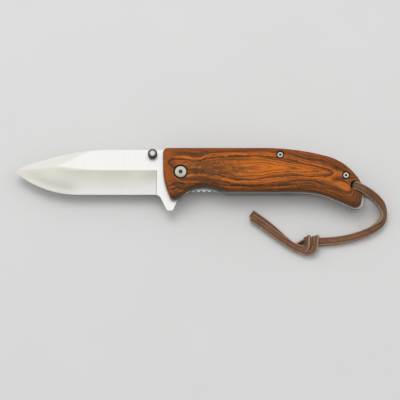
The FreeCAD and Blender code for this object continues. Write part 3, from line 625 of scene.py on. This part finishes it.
def satin_steel(name, colour, roughness, depth, along, painted_edges=False, groove_shade_amount=0.0):
    """Steel with fine grinding lines. along draws the lines out over X, Y and Z."""
    finish = Finish(name, Metallic=1.0)
    place = finish.millimetres()
    lines = finish.pattern(place, along, detail=4.0, roughness=0.7)
    cloud = finish.noise(place, scale=0.12, detail=2.0)
    darker = tuple(c * 0.9 for c in colour)
    steel = finish.mix(lines.step(0.3, 0.7) * 0.6, darker, colour)
    if painted_edges:
        x, _, z = finish.parts(place)
        # Painted shade on the cut edges at the pivot, and a painted highlight toward the butt.
        butt_highlight = x.step(*EDGE_HIGHLIGHT_START)
        bare_tone = finish.mix(butt_highlight, CUT_EDGE_SHADE, CUT_EDGE_HIGHLIGHT)
        cut_edge = finish.flatness().below(0.5, 0.2)
        outside = cut_edge * finish.from_axis(place, LANYARD_HOLE).step(3.0, 4.0)
        steel = finish.mix(outside, steel, bare_tone)
        finish.set(Metallic=1.0 - outside * (0.5 + butt_highlight * 0.4))
        if groove_shade_amount:
            # Painted shade on the front liner at the finger groove.
            groove_shade = x.step(*LINER_SHADE_START) * x.below(*LINER_SHADE_END) * z.step(*LINER_SHADE_HEIGHT)
            steel = finish.mix(groove_shade * groove_shade_amount, steel, LINER_SHADE)
    finish.set(
        Base_Color=steel,
        Roughness=roughness + (lines - 0.5) * 0.12 + (cloud - 0.5) * 0.08,
    )
    finish.bump(lines, depth, LINE_DEPTH)
    return finish.material


# Colours of the screws: their turned heads, and the painted shade on their rims and in their
# sockets.
HEAD_DULL = (0.46, 0.45, 0.38)
HEAD_BRIGHT = (0.64, 0.63, 0.54)
HEAD_RIM_SHADE = (0.3, 0.3, 0.28)
SOCKET_SHADE = (0.06, 0.062, 0.056)


def screw_steel(node, socket_radius, front):
    """Bright turned steel, with painted shade on the head's rim and inside the screw's socket."""
    finish = Finish(f"{node}_steel", Metallic=1.0)
    place = finish.millimetres()
    _, _, z = finish.parts(place)
    radius = finish.from_axis(place, axis_of(node))
    low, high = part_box(node)
    head_radius = (high[0] - low[0]) / 2 / MM
    turning = finish.noise(finish.vector(radius * 9.0, z * 4.0), detail=2.0)
    depth = (high[2] / MM - z) if front else (z - low[2] / MM)
    # Painted shade inside the socket and on the head's rim.
    socket_shade = depth.step(0.05, 0.2) * radius.below(socket_radius, 0.03)
    rim = radius.step(head_radius - 0.7, head_radius - 0.2)
    head = finish.mix(turning, HEAD_DULL, HEAD_BRIGHT)
    finish.set(
        Base_Color=finish.layered(head, [(rim * 0.5, HEAD_RIM_SHADE), (socket_shade * 0.93, SOCKET_SHADE)]),
        Roughness=0.24 + turning * 0.14 + socket_shade * 0.3,
    )
    finish.bump(radius * radius * -0.03 + turning * 0.02, 1.0, MM)
    return finish.material


# Colours of the stud: its coating, the worn crown and the bright middle of the crown.
COATING_DARK = (0.035, 0.034, 0.032)
COATING_PALE = (0.09, 0.087, 0.08)
CROWN_DULL = (0.17, 0.165, 0.155)
CROWN_BRIGHT = (0.7, 0.69, 0.66)
CROWN_MIDDLE = (1.35, 0.45)


def dark_stud():
    """A dark coated stud whose crown is worn bright."""
    finish = Finish("dark_stud", Metallic=1.0)
    place = finish.millimetres()
    _, _, z = finish.parts(place)
    wear = finish.noise(place, scale=1.1, detail=3.0)
    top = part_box("thumb_stud")[1][2] / MM
    crown = (z + (wear - 0.5) * 0.3).step(top - 0.3, top - 0.05)
    middle = finish.from_axis(place, axis_of("thumb_stud")).below(*CROWN_MIDDLE)
    dark = finish.mix(wear, COATING_DARK, COATING_PALE)
    bare_tone = finish.mix(middle, CROWN_DULL, CROWN_BRIGHT)
    finish.set(Base_Color=finish.mix(crown, dark, bare_tone), Roughness=0.3 + wear * 0.15)
    return finish.material


BRONZE_DARK = (0.5, 0.29, 0.1)
BRONZE_BRIGHT = (0.68, 0.44, 0.2)


def bronze():
    """Tarnished bronze, for the washers."""
    finish = Finish("washer_bronze", Metallic=1.0)
    tarnish = finish.noise(finish.millimetres(), scale=0.5, detail=4.0)
    finish.set(
        Base_Color=finish.mix(tarnish, BRONZE_DARK, BRONZE_BRIGHT),
        Roughness=0.3 + tarnish * 0.2,
    )
    return finish.material


# The lace's section, and the attribute that says how far along and across the lace a point lies.
LACE_WIDTH = 4.4 * MM
LACE_THICK = 1.4 * MM
LACE_CORNER = 0.35 * MM
CORNER_STEPS = 4
LACE_PLACE = "place_on_lace"

# Colours of the leather, with its painted sheen, shade and highlights, and how its fibres are drawn
# out along, across and through the lace.
LEATHER_DARK = (0.11, 0.042, 0.016)
LEATHER_BROWN = (0.19, 0.078, 0.032)
FIBRE_SHEEN_BROWN = (0.31, 0.132, 0.056)
CREASE_TAN = (0.33, 0.15, 0.072)
SIDE_SHADE = (0.07, 0.034, 0.02)
EDGE_TAN_AND_HIGHLIGHT = (0.42, 0.255, 0.155)
TUCKED_SHADE = (0.03, 0.014, 0.008)
PORE_DARK = (0.06, 0.026, 0.014)
FIBRES = (0.22, 1.9, 1.0)
# The first millimetres of each length of lace are tucked into the knot, and painted dark there as
# shade.
TUCKED_END = (3.6, 2.2)


def leather():
    """Brown lace leather: matt and finely pored, creased along the lace, with painted sheen down
    the middle, painted shade on the sides of its face and in the knot, and pale edges that are
    partly the cut leather's own tone and partly painted highlight.
    """
    finish = Finish("lace_leather", IOR=1.45, Sheen_Weight=0.15, Sheen_Roughness=0.5)
    place = finish.millimetres()
    blotch = finish.noise(place, scale=0.16, detail=4.0, roughness=0.6)
    pores = finish.noise(place, scale=3.2, detail=3.0, roughness=0.6)
    crease = finish.noise(place, scale=0.9, detail=5.0, roughness=0.65)
    lace = finish.add("ShaderNodeAttribute", {"attribute_name": LACE_PLACE}, output="Vector")
    along, across, end = finish.parts(lace)
    rim = (abs(across) / (LACE_WIDTH / 2 / MM)).math("MAXIMUM", end)
    fibre = finish.pattern(lace, FIBRES, detail=5.0, roughness=0.7)
    brown = finish.mix(blotch.step(0.3, 0.7), LEATHER_DARK, LEATHER_BROWN)
    layers = [
        # Painted sheen down the middle of the face, laid with the fibres.
        (rim.below(0.4, 0.35) * fibre.step(0.4, 0.62) * 0.8, FIBRE_SHEEN_BROWN),
        (crease.step(0.5, 0.72) * 0.3, CREASE_TAN),
        # Painted shade toward the sides of the face.
        (rim.step(0.3, 0.62) * 0.75, SIDE_SHADE),
        # Pale edges: partly the cut leather's own tone, partly painted highlight.
        (rim.step(0.62, 0.86) * (0.4 + crease * 0.7), EDGE_TAN_AND_HIGHLIGHT),
        # Painted shade on the ends tucked into the knot.
        (along.below(*TUCKED_END) * 0.75, TUCKED_SHADE),
        (pores.below(0.42, 0.06) * (0.55 - rim.step(0.85, 0.97) * 0.4), PORE_DARK),
    ]
    finish.set(
        Base_Color=finish.layered(brown, layers),
        Roughness=0.62 + (pores - 0.5) * 0.25,
    )
    finish.bump(pores * 0.5 + crease + fibre * 0.7, 0.35, 0.12 * MM)
    return finish.material


def dress(node, material):
    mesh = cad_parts[node].data
    mesh.materials.clear()
    mesh.materials.append(material)


# How the grinding lines of plates and pins are drawn out over X, Y and Z.
PLATE_LINES = (0.1, 4.0, 4.0)
PIN_LINES = (2.0, 2.0, 0.3)
LINER_GREY = (0.62, 0.61, 0.58)
# The lock leaf's steel is painted brighter than the liners' same steel, as painted light against
# the shade of the front scale.
LEAF_BRIGHTENED_GREY = (0.82, 0.81, 0.78)
PIN_GREY = (0.7, 0.7, 0.68)

FRONT_SCREWS = ("pivot_screw", "spine_screw_front", "butt_screw_front")
SOCKET_RADII = {
    "pivot_screw": 1.4,
    "pivot_barrel": 1.4,
    "spine_screw_front": 0.86,
    "spine_screw_back": 0.86,
    "butt_screw_front": 0.86,
    "butt_screw_back": 0.86,
    "thumb_stud_screw": 0.66,
}


def dress_knife():
    wood = polished_wood()
    plate = satin_steel(
        "liner_steel",
        LINER_GREY,
        roughness=0.36,
        depth=0.05,
        along=PLATE_LINES,
        painted_edges=True,
        groove_shade_amount=0.9,
    )
    spring = satin_steel(
        "leaf_steel",
        LEAF_BRIGHTENED_GREY,
        roughness=0.36,
        depth=0.05,
        along=PLATE_LINES,
        painted_edges=True,
    )
    pins = satin_steel("pin_steel", PIN_GREY, roughness=0.28, depth=0.04, along=PIN_LINES)
    washers = bronze()
    finishes = {
        "scale_front": wood,
        "scale_back": wood,
        "blade": ground_blade(),
        "liner_front": plate,
        "liner_back": plate,
        "lock_leaf": spring,
        "stop_pin": pins,
        "spine_standoff": pins,
        "butt_standoff": pins,
        "washer_front": washers,
        "washer_back": washers,
        "thumb_stud": dark_stud(),
    }
    for node, radius in SOCKET_RADII.items():
        finishes[node] = screw_steel(node, radius, front=node in FRONT_SCREWS)
    for node, material in finishes.items():
        dress(node, material)


# How high the lace lies on the table, alone or on another length of it, and its roll in the hole.
LOW_LAY = 0.8
HIGH_LAY = 2.6
HOLE_ROLL = 38

# Routes of the lace, with its roll at each point in degrees.
UPPER_STRAND = [
    (98.7, -7.6, 7.6, HOLE_ROLL),
    (98.5, -7.6, 16.3, HOLE_ROLL),
    (105.0, -10.4, 16.3, HOLE_ROLL),
    (110.6, -13.7, 13.6, HOLE_ROLL / 2),
    (115.0, -17.7, 9.4, 40),
    (116.9, -22.3, 5.8, 75),
    (116.0, -27.1, 4.2, 55),
    (111.7, -30.6, 3.4, 20),
    (105.7, -33.6, 3.1, 5),
    (98.4, -36.0, HIGH_LAY, 0),
    (91.0, -37.5, HIGH_LAY, 0),
    (84.2, -38.1, HIGH_LAY, 0),
    (79.0, -38.3, HIGH_LAY, 0),
    (74.6, -38.7, HIGH_LAY, 0),
]
LOWER_STRAND = [
    (98.7, -7.6, 7.6, 0),
    (99.4, -7.8, LOW_LAY, 0),
    (104.6, -8.7, LOW_LAY, 0),
    (110.4, -10.7, 1.2, 10),
    (114.7, -16.0, 1.9, 45),
    (116.5, -21.4, 2.4, 70),
    (115.3, -26.4, 2.2, 50),
    (111.6, -30.3, 1.3, 15),
    (105.7, -33.5, LOW_LAY, 0),
    (98.4, -36.0, LOW_LAY, 0),
    (91.0, -37.6, LOW_LAY, 0),
    (84.2, -38.3, LOW_LAY, 0),
    (79.0, -38.5, LOW_LAY, 0),
    (74.6, -38.9, LOW_LAY, 0),
]
TAIL_TOP = [
    (73.4, -42.2, HIGH_LAY, 0),
    (69.6, -43.3, HIGH_LAY, 0),
    (65.4, -41.8, HIGH_LAY, 0),
    (59.5, -38.0, HIGH_LAY, 4),
    (53.0, -33.3, HIGH_LAY, 8),
    (46.8, -28.5, HIGH_LAY, 8),
    (40.6, -24.3, HIGH_LAY, 8),
]
TAIL_UNDER = [
    (75.0, -41.0, LOW_LAY, 0),
    (72.6, -43.2, LOW_LAY, 0),
    (68.9, -43.0, LOW_LAY, 0),
    (64.9, -41.4, LOW_LAY, 0),
    (59.5, -37.1, LOW_LAY, 0),
    (53.2, -31.0, LOW_LAY, 0),
    (47.0, -26.0, LOW_LAY, 0),
    (40.6, -21.5, LOW_LAY, 0),
]
# The knot's turns that show: the wide band round the strands, the band inside it, the thin left
# side of its eye, and the lace seen through the eye. A fifth number makes the lace slighter there.
KNOT_TURNS = [
    [
        (77.6, -38.8, 1.0, 0),
        (77.4, -35.4, 1.0, 0),
        (77.0, -35.8, 4.2, 0),
        (76.8, -38.4, 4.7, 0),
        (76.4, -42.2, 4.3, 0),
        (74.8, -44.2, 3.4, 0),
        (71.8, -44.5, 2.8, 0),
        (68.6, -43.0, 2.5, 0),
        (66.0, -41.4, 2.0, 0),
    ],
    [
        (72.9, -39.0, 1.2, 0),
        (72.6, -35.9, 1.3, 0),
        (72.3, -35.9, 3.5, 20),
        (72.5, -37.4, 4.1, 42),
        (72.8, -39.4, 4.0, 55),
        (72.2, -41.8, 3.4, 45),
        (70.8, -43.1, 2.7, 20),
        (69.3, -42.4, 1.8, 0),
    ],
    [
        (74.0, -36.2, 1.9, 90, 0.6),
        (71.6, -36.9, 2.0, 90, 0.6),
        (69.2, -38.0, 1.9, 90, 0.6),
        (66.8, -39.2, 1.6, 85, 0.55),
        (64.8, -40.4, 1.4, 80, 0.5),
        (63.0, -40.6, 1.4, 60, 0.45),
    ],
    [
        (67.0, -40.9, 0.8, 0),
        (70.4, -40.0, 0.8, 0),
        (73.6, -39.2, 1.2, 0),
        (76.4, -38.7, 1.7, 0),
    ],
]


def route_curve(route, section=None):
    """A smooth curve along a route, bare or with the lace's section around it."""
    curve = bpy.data.curves.new("route", "CURVE")
    curve.dimensions = "3D"
    curve.twist_mode = "MINIMUM"
    curve.resolution_u = ROUTE_STEPS
    spline = curve.splines.new("NURBS")
    spline.points.add(len(route) - 1)
    for point, (x, y, z, roll, *girth) in zip(spline.points, route):
        point.co = (x * MM, y * MM, z * MM, 1.0)
        point.tilt = math.radians(roll)
        point.radius = girth[0] if girth else 1.0
    spline.order_u = 3
    spline.use_endpoint_u = True
    if section is not None:
        curve.bevel_mode = "OBJECT"
        curve.bevel_object = section
        curve.use_fill_caps = True
    return curve


def curve_to_mesh(curve):
    holder = bpy.data.objects.new("holder", curve)
    bpy.context.scene.collection.objects.link(holder)
    graph = bpy.context.evaluated_depsgraph_get()
    mesh = bpy.data.meshes.new_from_object(holder.evaluated_get(graph))
    bpy.data.objects.remove(holder)
    return mesh


def section_points():
    """The lace's section as (across, up) points: flat, with softly broken edges."""
    points = []
    for quarter, (side, top) in enumerate(((1, 1), (-1, 1), (-1, -1), (1, -1))):
        for i in range(CORNER_STEPS + 1):
            angle = math.radians(90 * (quarter + i / CORNER_STEPS))
            across = side * (LACE_WIDTH / 2 - LACE_CORNER) + LACE_CORNER * math.cos(angle)
            up = top * (LACE_THICK / 2 - LACE_CORNER) + LACE_CORNER * math.sin(angle)
            points.append((across, up))
        on_face = quarter % 2 == 0
        points.append((0.0, top * LACE_THICK / 2) if on_face else (side * LACE_WIDTH / 2, 0.0))
    return points


def lace_section():
    curve = bpy.data.curves.new("lace_section", "CURVE")
    curve.dimensions = "2D"
    curve.fill_mode = "NONE"
    points = section_points()
    spline = curve.splines.new("POLY")
    spline.points.add(len(points) - 1)
    for point, (across, up) in zip(spline.points, points):
        point.co = (across, up, 0.0, 1.0)
    spline.use_cyclic_u = True
    holder = bpy.data.objects.new("lace_section", curve)
    bpy.context.scene.collection.objects.link(holder)
    return holder


def mark_places(mesh, route):
    """Notes how far along and across the lace each vertex lies, and 1 on the lace's cut end."""
    section = section_points()
    rings = len(mesh.vertices) // len(section)
    spacing = length_of(centreline(route)) / rings
    before, end = (Vector(point[:3]) * MM for point in route[-2:])
    ahead = (end - before).normalized()
    places = mesh.attributes.new(LACE_PLACE, "FLOAT_VECTOR", "POINT")
    for i, place in enumerate(places.data):
        ring, corner = divmod(i, len(section))
        on_end = abs((mesh.vertices[i].co - end).dot(ahead)) < END_REACH
        place.vector = (ring * spacing / MM, section[corner][0] / MM, float(on_end))


def ribbon(name, routes, section, material):
    """One piece of lace, made along one or more routes."""
    shape = bmesh.new()
    for route in routes:
        turn = curve_to_mesh(route_curve(route, section))
        mark_places(turn, route)
        shape.from_mesh(turn)
    bmesh.ops.remove_doubles(shape, verts=shape.verts, dist=CLOSED_GAP)
    bmesh.ops.recalc_face_normals(shape, faces=shape.faces)
    mesh = bpy.data.meshes.new(name)
    shape.to_mesh(mesh)
    shape.free()
    for face in mesh.polygons:
        face.use_smooth = len(face.vertices) == 4
    mesh.materials.clear()
    mesh.materials.append(material)
    piece = bpy.data.objects.new(name, mesh)
    bpy.context.scene.collection.objects.link(piece)
    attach(piece, "handle")
    return piece


def centreline(route):
    return [v.co.copy() for v in curve_to_mesh(route_curve(route)).vertices]


def length_of(path):
    return sum((b - a).length for a, b in zip(path, path[1:]))


def make_lace():
    material = leather()
    section = lace_section()
    knot = ribbon("lace_knot_turns", KNOT_TURNS, section, material)
    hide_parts("lace_knot")
    strands = {
        "lace_upper_strand": (UPPER_STRAND, "knot", "hanging"),
        "lace_lower_strand": (LOWER_STRAND, "knot", "loose"),
        "lace_tail_top": (TAIL_TOP, "bare", "loose"),
        "lace_tail_under": (TAIL_UNDER, "bare", "loose"),
    }
    for node, (route, end, lay) in strands.items():
        from_hole = "strand" in node
        drawn = route[::-1] if from_hole else route
        piece = ribbon(f"{node}_leather", [drawn], section, material)
        path = centreline(route)
        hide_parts(node)
    bpy.data.objects.remove(section)


# The sky's brightness from the edge's side of the knife, over the top, to the spine's side.
SKY = [
    (0.0, (0.25, 0.25, 0.25)),
    (0.4, (0.5, 0.5, 0.5)),
    (0.5, (0.96, 0.96, 0.95)),
    (0.6, (1.2, 1.2, 1.19)),
    (0.78, (1.0, 1.0, 0.99)),
    (1.0, (0.7, 0.7, 0.7)),
]
# The lamps: place, size and power of each.
LAMPS = {
    "key": ((-0.15, 0.5, 0.9), 0.5, 3.2),
    "fill": ((0.3, -0.9, 0.5), 0.8, 0.5),
}


def light_scene():
    """A soft sky and two broad lamps that polished steel does not mirror."""
    scene = bpy.context.scene
    scene.view_settings.view_transform = "Standard"
    world = bpy.data.worlds.new("studio")
    world.use_nodes = True
    scene.world = world
    nodes = Nodes(world.node_tree)
    backdrop = next(n for n in nodes.tree.nodes if n.type == "BACKGROUND")
    direction = nodes.add("ShaderNodeTexCoord", output="Generated")
    _, y, _ = nodes.parts(direction)
    sky = nodes.add("ShaderNodeValToRGB", {"stops": SKY}, {0: y * 0.5 + 0.5})
    nodes.feed(backdrop.inputs["Color"], sky)
    nodes.feed(backdrop.inputs["Strength"], 1.0)
    for name, (place, size, power) in LAMPS.items():
        lamp = bpy.data.lights.new(name, "AREA")
        lamp.size = size
        lamp.energy = power
        holder = bpy.data.objects.new(name, lamp)
        holder.location = place
        holder.rotation_euler = (-Vector(place)).to_track_quat("-Z", "Y").to_euler()
        holder.visible_glossy = False
        scene.collection.objects.link(holder)


TABLE_HALF = 1.5
TABLE_DROP = 0.05 * MM
TABLE_GREY = (0.68, 0.68, 0.68)
TABLE_PALE = (0.71, 0.71, 0.71)


def lay_floor():
    """A pale tabletop under the knife."""
    shape = bmesh.new()
    bmesh.ops.create_grid(shape, x_segments=1, y_segments=1, size=TABLE_HALF)
    bmesh.ops.translate(shape, verts=shape.verts, vec=(0, 0, -TABLE_DROP))
    mesh = bpy.data.meshes.new("tabletop")
    shape.to_mesh(mesh)
    shape.free()
    finish = Finish("tabletop", Roughness=0.7)
    speck = finish.noise(finish.millimetres(), scale=0.02, detail=2.0)
    finish.set(Base_Color=finish.mix(speck, TABLE_GREY, TABLE_PALE))
    mesh.materials.append(finish.material)
    floor = bpy.data.objects.new("tabletop", mesh)
    bpy.context.scene.collection.objects.link(floor)


def set_camera():
    camera = bpy.data.cameras.new("camera")
    camera.sensor_width = SENSOR
    camera.lens = SENSOR * VIEW_DISTANCE / VIEW_WIDTH
    holder = bpy.data.objects.new("camera", camera)
    back = Vector((0, -math.cos(VIEW_ELEVATION), math.sin(VIEW_ELEVATION)))
    holder.location = VIEW_AIM + back * VIEW_DISTANCE
    holder.rotation_euler = (-back).to_track_quat("-Z", "Y").to_euler()
    bpy.context.scene.collection.objects.link(holder)
    bpy.context.scene.camera = holder


set_camera()
make_lace()
dress_knife()
light_scene()
lay_floor()
